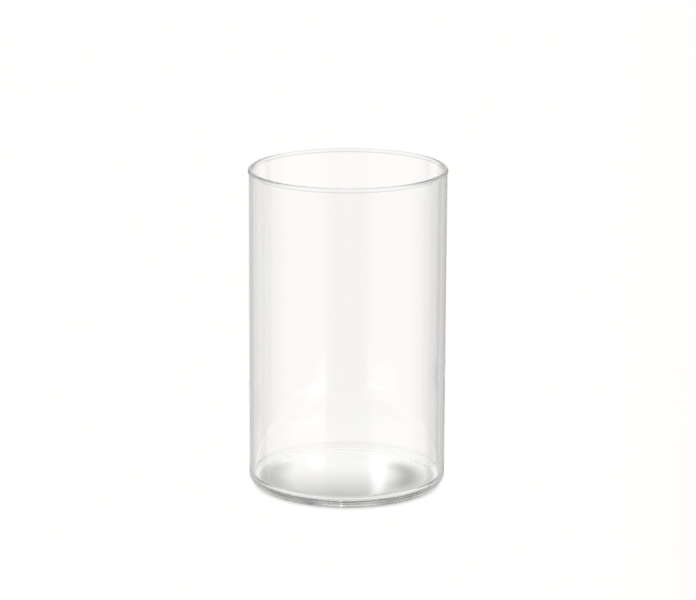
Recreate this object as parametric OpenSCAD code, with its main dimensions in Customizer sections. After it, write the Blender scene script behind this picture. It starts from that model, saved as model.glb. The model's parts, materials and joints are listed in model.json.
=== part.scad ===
// Cylinder vase for cut flowers: one piece of clear soda-lime glass, open at the top.
// It stands on the plane Z = 0 with its axis along Z, and the origin is the middle of its foot.
// The whole piece is one half section turned around Z: true arcs at the heel, the floor and the
// underside, and fine steps along the small bead of the lip.

/* [Wall] */
// Height from the standing surface to the top of the lip
vase_h = 200; // [140:5:300]
// Outer diameter of the straight wall
outer_d = 122; // [100:1:160]
// Thickness of the straight wall
wall_t = 3; // [2:0.25:4]

/* [Lip] */
// How far the fire-polished lip swells out past the wall
lip_swell = 0.3; // [0.1:0.05:0.6]
// Radius of the shallow hollow that blends the lip into the wall
lip_blend_r = 2; // [1:0.5:5]

/* [Foot] */
// Radius of the round heel between the wall and the foot
heel_r = 6; // [4:0.5:9]
// Width of the flat ring that the vase stands on
ring_w = 5; // [3:0.5:10]
// Rise of the concave underside at its middle
punt_h = 1.5; // [0.5:0.25:2.5]

/* [Floor] */
// Height of the inside floor at its middle
floor_h = 6; // [5:0.5:10]
// Radius of the gentle crown of the inside floor
crown_r = 900; // [600:50:2000]
// Radius of the round corner between the inside floor and the wall
corner_r = 5; // [3:0.5:10]

/* [Hidden] */

// Clear glass with a trace of grey
glass = [0.90, 0.92, 0.92, 0.35];
// Facets of a small arc and of the turned piece, and of the large flat arcs
small_fn = 180;
large_fn = 1440;

outer_r = outer_d / 2;
inner_r = outer_r - wall_t;

// The lip is a round bead whose inner side is tangent to the inside wall
lip_r = (wall_t + lip_swell) / 2;
lip_x = inner_r + lip_r;
lip_z = vase_h - lip_r;
lip_steps = 16;
// The blend's centre lies outside the wall, and blend_turn is how far below level it is seen from the bead
blend_x = outer_r + lip_blend_r;
blend_turn = acos((blend_x - lip_x) / (lip_r + lip_blend_r));
blend_z = lip_z - (lip_r + lip_blend_r) * sin(blend_turn);
blend_steps = 4;

// The underside is a shallow spherical hollow that ends at the standing ring
hollow_rim_r = outer_r - heel_r - ring_w;
hollow_r = (pow(hollow_rim_r, 2) + pow(punt_h, 2)) / (2 * punt_h);

// The inside corner is tangent to the wall and to the crowned floor
crown_z = floor_h - crown_r;
corner_x = inner_r - corner_r;
corner_z = crown_z + sqrt(pow(crown_r + corner_r, 2) - pow(corner_x, 2));

// Points of a round stretch about (x, z), from one angle to another in equal steps
function arc(x, z, r, from, to, steps) =
    [for (i = [0:steps]) let (a = from + (to - from) * i / steps) [x + r * cos(a), z + r * sin(a)]];

// Half section of the outside: round heel, straight side, and the bead of the lip on top
module outside_half() {
    polygon(concat(
        [[0, heel_r], [outer_r, heel_r]],
        arc(blend_x, blend_z, lip_blend_r, 180, 180 - blend_turn, blend_steps),
        arc(lip_x, lip_z, lip_r, -blend_turn, 180, lip_steps),
        [[0, lip_z]]
    ));
    square([outer_r - heel_r, heel_r]);
    translate([outer_r - heel_r, heel_r])
        circle(heel_r, $fn = small_fn);
}

// Half section of the cavity: straight bore, round corner and crowned floor
module cavity_half() {
    translate([0, corner_z])
        square([inner_r, vase_h]);
    translate([corner_x, corner_z])
        circle(corner_r, $fn = small_fn);
    difference() {
        polygon([[0, crown_z], [corner_x, corner_z], [0, corner_z]]);
        translate([0, crown_z])
            circle(crown_r, $fn = large_fn);
    }
}

// The vase: wall, floor, foot and lip are one continuous body of glass
module vase() {
    color(glass)
        rotate_extrude($fn = small_fn)
            difference() {
                outside_half();
                cavity_half();
                translate([0, punt_h - hollow_r])
                    circle(hollow_r, $fn = large_fn);
            }
}

vase();
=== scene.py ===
import json
import math

import bpy
import numpy as np
from mathutils import Matrix, Vector, noise


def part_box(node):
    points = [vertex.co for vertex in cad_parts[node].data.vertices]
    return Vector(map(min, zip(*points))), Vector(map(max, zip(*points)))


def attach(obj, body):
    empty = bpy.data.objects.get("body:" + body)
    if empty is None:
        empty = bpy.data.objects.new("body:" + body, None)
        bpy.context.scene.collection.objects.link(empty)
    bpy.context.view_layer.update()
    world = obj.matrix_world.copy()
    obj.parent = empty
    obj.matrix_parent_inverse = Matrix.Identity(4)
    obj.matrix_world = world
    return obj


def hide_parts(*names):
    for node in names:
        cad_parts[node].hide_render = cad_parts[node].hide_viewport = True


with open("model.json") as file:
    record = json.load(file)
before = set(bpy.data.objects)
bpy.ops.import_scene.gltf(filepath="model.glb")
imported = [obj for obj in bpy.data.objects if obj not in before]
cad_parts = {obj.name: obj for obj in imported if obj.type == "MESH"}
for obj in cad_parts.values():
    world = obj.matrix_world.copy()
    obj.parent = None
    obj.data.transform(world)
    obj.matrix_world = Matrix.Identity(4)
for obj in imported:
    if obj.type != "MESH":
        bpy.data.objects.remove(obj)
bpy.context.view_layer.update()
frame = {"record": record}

# ---------------------------------------------------------------- the vase, in metres
LOW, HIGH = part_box("vase")
HEIGHT = HIGH[2] - LOW[2]
LIP_OUTER_R = (HIGH[0] - LOW[0]) / 2
MOUTH = next(m for m in frame["record"]["mounts"] if m["name"] == "mouth")
INNER_R = MOUTH["dims"]["r_mm"] / 1000
LIP_SWELL = 0.0003
OUTER_R = LIP_OUTER_R - LIP_SWELL
LIP_BLEND_R = 0.002
HEEL_R = 0.006
RING_W = 0.005
PUNT_H = 0.0015
FLOOR_H = 0.006
CROWN_R = 0.900
CORNER_R = 0.005

# Small faults of the glass: one thick wave of the inside wall, ripples, and a lip just off level
WAVE_Z = 0.059
WAVE_TILT = 0.010
WAVE_WIDTH = 0.011
WAVE_DEPTH = 0.00012
RIPPLE = 0.00003
RIPPLES_ROUND = 2
RIPPLE_LENGTH = 0.06
# Distances up from the foot, and down from the rim, over which the wall's faults set in
FAULTS_ABOVE_FOOT = (0.010, 0.025)
FAULTS_BELOW_RIM = (0.020, 0.005)
LIP_FALL = 0.0006
LIP_FALL_TOWARDS = math.radians(150)
LIP_FALL_FROM = (0.12, 0.19)
# How near the inside wall a point of the section counts as on it
SKIN = 0.0001

# Steps of the mesh: round the axis, along the curves and up the straight wall
SEGMENTS = 384
CURVE_STEPS = 24
CORNER_STEPS = 20
SHORT_STEPS = 6
WALL_STEPS = 60


# ---------------------------------------------------------------- the glass body
def arc(x, z, r, start, stop, steps):
    """Points of a round stretch about (x, z), angles in radians, both ends included."""
    return [(x + r * math.cos(a), z + r * math.sin(a)) for a in np.linspace(start, stop, steps + 1)]


def line(a, b, steps):
    """Points from a to b, without either end."""
    shares = np.linspace(0, 1, steps + 1)[1:-1]
    return [(a[0] + (b[0] - a[0]) * t, a[1] + (b[1] - a[1]) * t) for t in shares]


def half_section():
    """The section of the glass, from the middle of the underside round the lip to the floor's middle."""
    lip_r = (OUTER_R - INNER_R + LIP_SWELL) / 2
    lip = (INNER_R + lip_r, HEIGHT - lip_r)
    blend_x = OUTER_R + LIP_BLEND_R
    turn = math.acos((blend_x - lip[0]) / (lip_r + LIP_BLEND_R))
    neck_at = (blend_x, lip[1] - (lip_r + LIP_BLEND_R) * math.sin(turn))
    heel_x = OUTER_R - HEEL_R
    rim = heel_x - RING_W
    hollow_r = (rim ** 2 + PUNT_H ** 2) / (2 * PUNT_H)
    crown_z = FLOOR_H - CROWN_R
    corner_x = INNER_R - CORNER_R
    corner_z = crown_z + math.sqrt((CROWN_R + CORNER_R) ** 2 - corner_x ** 2)
    tilt = math.atan2(corner_z - crown_z, corner_x)
    up = math.pi / 2

    under = arc(0, PUNT_H - hollow_r, hollow_r, up, up - math.asin(rim / hollow_r), CURVE_STEPS)
    ring = line((rim, 0), (heel_x, 0), SHORT_STEPS)
    heel = arc(heel_x, HEEL_R, HEEL_R, -up, 0, CURVE_STEPS)
    outside = line((OUTER_R, HEEL_R), (OUTER_R, neck_at[1]), WALL_STEPS)
    neck = arc(*neck_at, LIP_BLEND_R, math.pi, math.pi - turn, SHORT_STEPS)
    bead = arc(*lip, lip_r, -turn, math.pi, CURVE_STEPS)
    inside = line((INNER_R, lip[1]), (INNER_R, corner_z), WALL_STEPS)
    corner = arc(corner_x, corner_z, CORNER_R, 0, tilt - math.pi, CORNER_STEPS)
    floor = arc(0, crown_z, CROWN_R, tilt, up, CURVE_STEPS)
    return under[1:] + ring + heel + outside + neck + bead[1:] + inside + corner + floor[1:-1]


def soft_step(value, start, stop):
    """Zero before start, one after stop, and a smooth rise between them."""
    t = min(max((value - start) / (stop - start), 0), 1)
    return t * t * (3 - 2 * t)


def uneven(r, z, a):
    """The place of a section point at angle a, moved by the small faults of the glass."""
    if r > INNER_R - SKIN and z > FLOOR_H:
        place = Vector((RIPPLES_ROUND * math.cos(a), RIPPLES_ROUND * math.sin(a), z / RIPPLE_LENGTH))
        push = RIPPLE * noise.noise(place)
        if r < INNER_R + SKIN:
            from_crest = (z - WAVE_Z - WAVE_TILT * math.cos(a)) / WAVE_WIDTH
            push -= WAVE_DEPTH * math.exp(-from_crest ** 2)
        below_rim = 1 - soft_step(z, HEIGHT - FAULTS_BELOW_RIM[0], HEIGHT - FAULTS_BELOW_RIM[1])
        r += push * below_rim * soft_step(z, *FAULTS_ABOVE_FOOT)
    towards = 0.5 + 0.5 * math.cos(a - LIP_FALL_TOWARDS)
    return r * math.cos(a), r * math.sin(a), z - LIP_FALL * towards * soft_step(z, *LIP_FALL_FROM)


def mesh_object(name, verts, faces):
    """A mesh of the given points and faces, as an object of the scene."""
    mesh = bpy.data.meshes.new(name)
    mesh.from_pydata(verts, [], faces)
    obj = bpy.data.objects.new(name, mesh)
    bpy.context.scene.collection.objects.link(obj)
    return obj


def lathe(name, section, bottom_z, top_z):
    """A closed surface turned round Z from the section, with one point on the axis at each end."""
    angles = np.linspace(0, 2 * math.pi, SEGMENTS, endpoint=False)
    verts = [uneven(r, z, a) for r, z in section for a in angles]
    faces = []
    for i in range(len(section) - 1):
        here, above = i * SEGMENTS, (i + 1) * SEGMENTS
        for j in range(SEGMENTS):
            k = (j + 1) % SEGMENTS
            faces.append((here + j, here + k, above + k, above + j))
    low, high = len(verts), len(verts) + 1
    last = (len(section) - 1) * SEGMENTS
    verts += [(0, 0, bottom_z), (0, 0, top_z)]
    for j in range(SEGMENTS):
        k = (j + 1) % SEGMENTS
        faces.append((low, k, j))
        faces.append((high, last + j, last + k))
    obj = mesh_object(name, verts, faces)
    obj.data.validate()
    obj.data.shade_smooth()
    return obj


# ---------------------------------------------------------------- node helpers
def node_tree(owner):
    """Give a material or a world an empty node tree."""
    owner.use_nodes = True
    owner.node_tree.nodes.clear()
    return owner.node_tree


def feed(tree, socket, value):
    """Link a socket into another, or set its plain value."""
    if isinstance(value, bpy.types.NodeSocket):
        tree.links.new(value, socket)
    else:
        socket.default_value = value


def calc(tree, operation, *values):
    """One arithmetic node, with sockets or numbers going in."""
    node = tree.nodes.new("ShaderNodeMath")
    node.operation = operation
    for socket, value in zip(node.inputs, values):
        feed(tree, socket, value)
    return node.outputs[0]


def product(tree, first, *others):
    """All the values multiplied together."""
    for other in others:
        first = calc(tree, "MULTIPLY", first, other)
    return first


def split(tree, vector):
    """The three parts of a vector."""
    node = tree.nodes.new("ShaderNodeSeparateXYZ")
    tree.links.new(vector, node.inputs[0])
    return node.outputs


def distance(tree, x, y):
    """The length of (x, y)."""
    return calc(tree, "SQRT", calc(tree, "MULTIPLY_ADD", x, x, calc(tree, "MULTIPLY", y, y)))


def rise(tree, value, start, stop, low=0.0, high=1.0):
    """A soft step from low to high while value goes from start to stop."""
    node = tree.nodes.new("ShaderNodeMapRange")
    node.interpolation_type = "SMOOTHSTEP"
    feed(tree, node.inputs["Value"], value)
    for name, number in (("From Min", start), ("From Max", stop), ("To Min", low), ("To Max", high)):
        node.inputs[name].default_value = number
    return node.outputs[0]


def fall(tree, value, start, stop):
    """A soft step from one to zero while value goes from start to stop."""
    return rise(tree, value, start, stop, 1.0, 0.0)


def band(tree, value, start, stop, soft):
    """One between start and stop, and a soft fall to zero on both sides."""
    up = rise(tree, value, start - soft, start + soft)
    return calc(tree, "MULTIPLY", up, fall(tree, value, stop - soft, stop + soft))


def grey(level):
    """A colour with no hue."""
    return (level, level, level, 1)


def blend(tree, share, first, second, kind="MIX"):
    """The second colour mixed into, multiplied by or added to the first, by a share."""
    node = tree.nodes.new("ShaderNodeMix")
    node.data_type = "RGBA"
    node.blend_type = kind
    node.clamp_result = False
    feed(tree, node.inputs[0], share)
    feed(tree, node.inputs[6], first)
    feed(tree, node.inputs[7], second)
    return node.outputs[2]


def texture(tree, kind, coord, scale, **extra):
    """A noise or cell texture at a scale per metre, with its other inputs by name."""
    node = tree.nodes.new(kind)
    feed(tree, node.inputs["Vector"], coord)
    node.inputs["Scale"].default_value = scale
    for name, value in extra.items():
        node.inputs[name].default_value = value
    return node.outputs[0]


# ---------------------------------------------------------------- the glass
IOR = 1.52
# Scales are per metre, and each range is the part of the texture that goes from none to full
# Colour of the glass, and of the faint cords in it
CLEAR = grey(0.985)
CORD = (0.980, 0.984, 0.983, 1)
CORD_SCALE = 14
CORD_RANGE = (0.35, 0.70)
# The worn ring that the vase stands on: radii and softness, and the height over which the wear ends
WORN_RING = (0.0500, 0.0562, 0.0006)
WORN_UP_TO = (0.0003, 0.0012)
SCUFF_SCALE = 1400
SCUFF_RANGE = (0.42, 0.68)
SCUFF_ROUGHNESS = 0.30
RING_ROUGHNESS = 0.05
STIPPLE_SCALE = 650
STIPPLE_RANGE = (0.1, 0.5)
STIPPLE_HEIGHT = 0.5
# Ripples drawn out along the axis
DRAWN_SCALE = 45
DRAWN_OUT = (1, 1, 0.12)
DRAWN_HEIGHT = 0.12
BUMP_STRENGTH = 0.3
BUMP_DISTANCE = 0.0004


def glass_bump(tree, coord, ring):
    """The surface of the glass: drawn ripples all over, and a stipple on the standing ring."""
    drawn = tree.nodes.new("ShaderNodeMapping")
    tree.links.new(coord, drawn.inputs["Vector"])
    drawn.inputs["Scale"].default_value = DRAWN_OUT
    ripples = texture(tree, "ShaderNodeTexNoise", drawn.outputs[0], DRAWN_SCALE, Detail=1.0)
    cells = texture(tree, "ShaderNodeTexVoronoi", coord, STIPPLE_SCALE)
    stipple = fall(tree, cells, *STIPPLE_RANGE)
    low = calc(tree, "MULTIPLY", ripples, DRAWN_HEIGHT)
    height = calc(tree, "MULTIPLY_ADD", calc(tree, "MULTIPLY", stipple, ring), STIPPLE_HEIGHT, low)
    bump = tree.nodes.new("ShaderNodeBump")
    bump.inputs["Strength"].default_value = BUMP_STRENGTH
    bump.inputs["Distance"].default_value = BUMP_DISTANCE
    tree.links.new(height, bump.inputs["Height"])
    return bump.outputs[0]


def glass_material():
    """Clear soda-lime glass: drawn ripples, faint cords of tint, and a stippled, scuffed standing ring."""
    mat = bpy.data.materials.new("clear_glass")
    tree = node_tree(mat)
    out = tree.nodes.new("ShaderNodeOutputMaterial")
    bsdf = tree.nodes.new("ShaderNodeBsdfPrincipled")
    coord = tree.nodes.new("ShaderNodeTexCoord").outputs["Object"]
    x, y, z = split(tree, coord)
    ring = product(tree, band(tree, distance(tree, x, y), *WORN_RING), fall(tree, z, *WORN_UP_TO))

    cords = rise(tree, texture(tree, "ShaderNodeTexNoise", coord, CORD_SCALE, Detail=2.0), *CORD_RANGE)
    scuffs = rise(tree, texture(tree, "ShaderNodeTexNoise", coord, SCUFF_SCALE, Detail=4.0), *SCUFF_RANGE)
    wear = calc(tree, "MULTIPLY_ADD", scuffs, SCUFF_ROUGHNESS, RING_ROUGHNESS)
    tree.links.new(blend(tree, cords, CLEAR, CORD), bsdf.inputs["Base Color"])
    tree.links.new(calc(tree, "MULTIPLY", ring, wear), bsdf.inputs["Roughness"])
    tree.links.new(glass_bump(tree, coord, ring), bsdf.inputs["Normal"])
    bsdf.inputs["Transmission Weight"].default_value = 1.0
    bsdf.inputs["IOR"].default_value = IOR
    tree.links.new(bsdf.outputs["BSDF"], out.inputs["Surface"])
    return mat


# ---------------------------------------------------------------- surroundings
# All directions are in degrees. Turn is from straight behind the vase, right positive. Lift is up.
# Light of the plain room round the table, and its slightly warm colour
ROOM = 0.65
WARM = (1.0, 0.985, 0.975, 1)
# Cards and lights that stand round the table: left edge, right edge, brightness, softness of the edges
CARDS = (
    (-22, -12, 0.50, 5),     # dim card left of the backdrop
    (12, 19, 0.20, 4),       # dark card right of the backdrop
    (-14, 11, 1.02, 6),      # backdrop
    (-50, -38, 0.95, 6),     # left window
    (40, 52, 0.85, 6),       # right window
    (-69, -59, 0.15, 5),     # dark card left of the vase
    (58, 69, 0.10, 5),       # dark card right of the vase
    (-155, -90, 0.82, 12),   # left softbox
    (94, 150, 1.00, 12),     # right softbox
)
# The dim wall behind the camera sets in over these turns, on both sides
BEHIND = (145, 168)
BEHIND_LEVEL = 0.55
# The pale floor, seen steeply down
FLOOR_LIFT = (-45, -24)
FLOOR_LEVEL = 0.92
# The room is dimmer beyond the table's edge
HORIZON_LIFT = (-8.8, -5)
HORIZON = 0.80
# The ceiling is dark in front and behind, and lighter within these turns of square to the side
CEILING_LIFT = (20, 27)
CEILING_ASIDE = (40, 58)
CEILING = 0.03
SIDE_CEILING = 0.45
# Two narrow strip lights that lean a little: turns and softness, and the lifts of their two ends
STRIP_LEAN = -0.035
STRIPS_START = (2, 6)
STRIPS_END = (28, 32)
MAIN_STRIP = (1.20, 2.15, 0.45)
MAIN_STRIP_GROWS = (4, 24, 0.2, 1.0)
SIDE_STRIP = (-3.05, -2.05, 0.5)
SIDE_STRIP_REACH = (7, 17, 2)
SIDE_STRIP_LEVEL = 0.22
# A bright shape behind the camera on the left: brightness, the turns over which its inner edge sets
# in, and its outer edge, which goes from one turn to another between two lifts
GLEAM = 0.7
GLEAM_INNER = (-157, -153)
GLEAM_OUTER = (-16.9, -15.8, -112, -147)
GLEAM_OUTER_SOFT = 5
# The lifts over which it ends above, and over which it dims below, with the two levels
GLEAM_TOP = (-15.9, -15.3)
GLEAM_BOTTOM = (-17.2, -16.6, 0.2, 1.0)


def standing_cards(tree, turn):
    """The room, the wall behind the camera, and the cards and lights round the table."""
    behind = rise(tree, calc(tree, "ABSOLUTE", turn), *BEHIND)
    light = blend(tree, behind, grey(ROOM), grey(BEHIND_LEVEL))
    for left, right, level, soft in CARDS:
        light = blend(tree, band(tree, turn, left, right, soft), light, grey(level))
    return blend(tree, 1.0, light, WARM, "MULTIPLY")


def ceiling_light(tree, turn):
    """Brightness overhead: lighter square to the side than in front and behind."""
    off_square = calc(tree, "SUBTRACT", calc(tree, "ABSOLUTE", turn), 90)
    return rise(tree, calc(tree, "ABSOLUTE", off_square), *CEILING_ASIDE, SIDE_CEILING, CEILING)


def strip_lights(tree, turn, lift):
    """Two narrow leaning lights above the backdrop, which the floor of the vase mirrors."""
    leaning = calc(tree, "MULTIPLY_ADD", lift, STRIP_LEAN, turn)
    main = product(tree, band(tree, leaning, *MAIN_STRIP), rise(tree, lift, *MAIN_STRIP_GROWS))
    side = product(tree, band(tree, leaning, *SIDE_STRIP), band(tree, lift, *SIDE_STRIP_REACH))
    both = calc(tree, "MULTIPLY_ADD", side, SIDE_STRIP_LEVEL, main)
    return product(tree, both, rise(tree, lift, *STRIPS_START), fall(tree, lift, *STRIPS_END))


def window_gleam(tree, turn, lift):
    """A bright shape behind the camera that the near wall mirrors: narrow above, wide below."""
    past_outer = calc(tree, "SUBTRACT", turn, rise(tree, lift, *GLEAM_OUTER))
    within = fall(tree, past_outer, -GLEAM_OUTER_SOFT, GLEAM_OUTER_SOFT)
    across = product(tree, rise(tree, turn, *GLEAM_INNER), within)
    upward = product(tree, fall(tree, lift, *GLEAM_TOP), rise(tree, lift, *GLEAM_BOTTOM))
    return product(tree, across, upward, GLEAM)


def surroundings():
    """A soft studio: cards and lights round the table, a pale floor, a dark ceiling and strip lights."""
    world = bpy.data.worlds.new("studio")
    bpy.context.scene.world = world
    tree = node_tree(world)
    out = tree.nodes.new("ShaderNodeOutputWorld")
    back = tree.nodes.new("ShaderNodeBackground")
    x, y, z = split(tree, tree.nodes.new("ShaderNodeTexCoord").outputs["Generated"])
    turn = calc(tree, "MULTIPLY", calc(tree, "ARCTAN2", x, y), math.degrees(1))
    lift = calc(tree, "MULTIPLY", calc(tree, "ARCSINE", z), math.degrees(1))
    light = standing_cards(tree, turn)
    light = blend(tree, fall(tree, lift, *FLOOR_LIFT), light, grey(FLOOR_LEVEL))
    light = blend(tree, rise(tree, lift, *HORIZON_LIFT), light, grey(HORIZON), "MULTIPLY")
    light = blend(tree, rise(tree, lift, *CEILING_LIFT), light, ceiling_light(tree, turn))
    light = blend(tree, strip_lights(tree, turn, lift), light, grey(1.0), "ADD")
    light = blend(tree, window_gleam(tree, turn, lift), light, grey(1.0), "ADD")
    tree.links.new(light, back.inputs["Color"])
    tree.links.new(back.outputs[0], out.inputs["Surface"])


# ---------------------------------------------------------------- the table, in metres
TABLE_R = 0.070
TABLE_Z = -0.0001
TABLE_RINGS = 12
TABLE_SEGMENTS = 96
# Tint of the table's painted glow, which stands in for the light on it
PAINTED_GLOW_TINT = (1.0, 0.99, 0.97, 1)
# Painted glow of the table under the vase, with painted shade on its near side rising to painted light on
# its far side: from, to, levels
NEAR_TO_FAR = (-0.030, 0.028, 0.76, 1.16)
# Radii where the painted light and shade under the vase turn into the even painted glow of the open table,
# and where the table fades away
OPEN_FROM = (0.0563, 0.0615)
OPEN_LEVEL = 1.05
FADE = (0.061, 0.069)
# Shaded crescents of the table under the side walls, about a centre just left of the axis: radii and
# softness, how far to the side they begin and are full, and their depth from left to right
CRESCENTS = (0.036, 0.049, 0.007)
CRESCENT_SHIFT = 0.004
CRESCENT_SIDES = (0.70, 0.98)
CRESCENT_DEPTH = (-0.01, 0.01, 0.48, 0.72)
SMALLEST_REACH = 0.001


def crescent_shade(tree, x, y):
    """How much of the table's glow the two crescents take away."""
    sideways = calc(tree, "ADD", x, CRESCENT_SHIFT)
    reach = distance(tree, sideways, y)
    length = calc(tree, "MAXIMUM", reach, SMALLEST_REACH)
    aside = calc(tree, "DIVIDE", calc(tree, "ABSOLUTE", sideways), length)
    shape = product(tree, band(tree, reach, *CRESCENTS), rise(tree, aside, *CRESCENT_SIDES))
    return product(tree, shape, rise(tree, sideways, *CRESCENT_DEPTH))


def painted_glow_table():
    """A painted glow that stands in for the light on the table, with painted shade under the vase, which
    fades into the studio at its edge.
    """
    mat = bpy.data.materials.new("painted_glow_table")
    tree = node_tree(mat)
    out = tree.nodes.new("ShaderNodeOutputMaterial")
    glow = tree.nodes.new("ShaderNodeEmission")
    # The table's brightness is all painted light: an emission, not a lamp
    glow.inputs["Color"].default_value = PAINTED_GLOW_TINT
    clear = tree.nodes.new("ShaderNodeBsdfTransparent")
    mix = tree.nodes.new("ShaderNodeMixShader")
    x, y = split(tree, tree.nodes.new("ShaderNodeTexCoord").outputs["Object"])[:2]
    radius = distance(tree, x, y)
    lit = calc(tree, "SUBTRACT", 1.0, crescent_shade(tree, x, y))
    # Painted shade on the near side and in the crescents, painted light on the far side
    under = product(tree, rise(tree, y, *NEAR_TO_FAR), lit)
    # Under the vase the painted light and shade above, beyond it an even painted glow
    open_part = rise(tree, radius, *OPEN_FROM)
    kept = calc(tree, "SUBTRACT", 1.0, open_part)
    level = calc(tree, "MULTIPLY_ADD", under, kept, calc(tree, "MULTIPLY", open_part, OPEN_LEVEL))
    tree.links.new(level, glow.inputs["Strength"])
    tree.links.new(rise(tree, radius, *FADE), mix.inputs[0])
    tree.links.new(glow.outputs[0], mix.inputs[1])
    tree.links.new(clear.outputs[0], mix.inputs[2])
    tree.links.new(mix.outputs[0], out.inputs["Surface"])
    return mat


def table_top():
    """A round table top just under the foot, which glows with painted light."""
    verts, faces = [(0, 0, 0)], []
    for i in range(1, TABLE_RINGS + 1):
        r = TABLE_R * i / TABLE_RINGS
        for j in range(TABLE_SEGMENTS):
            a = 2 * math.pi * j / TABLE_SEGMENTS
            verts.append((r * math.cos(a), r * math.sin(a), 0))
    for j in range(TABLE_SEGMENTS):
        faces.append((0, 1 + j, 1 + (j + 1) % TABLE_SEGMENTS))
    for i in range(TABLE_RINGS - 1):
        inner, outer = 1 + i * TABLE_SEGMENTS, 1 + (i + 1) * TABLE_SEGMENTS
        for j in range(TABLE_SEGMENTS):
            k = (j + 1) % TABLE_SEGMENTS
            faces.append((inner + j, outer + j, outer + k, inner + k))
    obj = mesh_object("table_top", verts, faces)
    obj.location.z = TABLE_Z
    obj.data.materials.append(painted_glow_table())


# ---------------------------------------------------------------- camera
# View down onto the middle of the vase, distance in wall radii, and the small turns of the camera
VIEW_DOWN = math.radians(15.0)
DISTANCE = 31.5
TIP_UP = math.radians(0.47)
SWING = math.radians(0.01)
ROLL = math.radians(0.24)
LENS = 160.7
SENSOR = 36
CLIP = (0.05, 50)


def turned(first, second, angle):
    """Two directions at right angles, turned by an angle in the plane that they span."""
    return (math.cos(angle) * first + math.sin(angle) * second,
            math.cos(angle) * second - math.sin(angle) * first)


def camera():
    """The viewing angle of a product shot: a long lens, 15 degrees down onto the vase."""
    focus = Vector((0, 0, HEIGHT / 2))
    place = focus + DISTANCE * OUTER_R * Vector((0, -math.cos(VIEW_DOWN), math.sin(VIEW_DOWN)))
    ahead = (focus - place).normalized()
    right = Vector((1, 0, 0))
    up = right.cross(ahead)
    ahead, up = turned(ahead, up, TIP_UP)
    ahead, right = turned(ahead, right, SWING)
    facing = Matrix((right, up, -ahead)).transposed() @ Matrix.Rotation(ROLL, 3, "Z")
    data = bpy.data.cameras.new("camera")
    data.sensor_width = SENSOR
    data.lens = LENS
    data.clip_start, data.clip_end = CLIP
    cam = bpy.data.objects.new("camera", data)
    cam.matrix_world = Matrix.Translation(place) @ facing.to_4x4()
    bpy.context.scene.collection.objects.link(cam)
    bpy.context.scene.camera = cam


# ---------------------------------------------------------------- the scene
# Light bounces many times along the thick ends of the rim before it leaves the glass
BOUNCES = 600

vase = lathe("vase_glass", half_section(), PUNT_H, FLOOR_H)
vase.data.materials.append(glass_material())
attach(vase, "root")
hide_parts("vase")

surroundings()
table_top()
camera()

scene = bpy.context.scene
scene.view_settings.view_transform = "Standard"
scene.cycles.max_bounces = BOUNCES
scene.cycles.transmission_bounces = BOUNCES
scene.cycles.glossy_bounces = BOUNCES
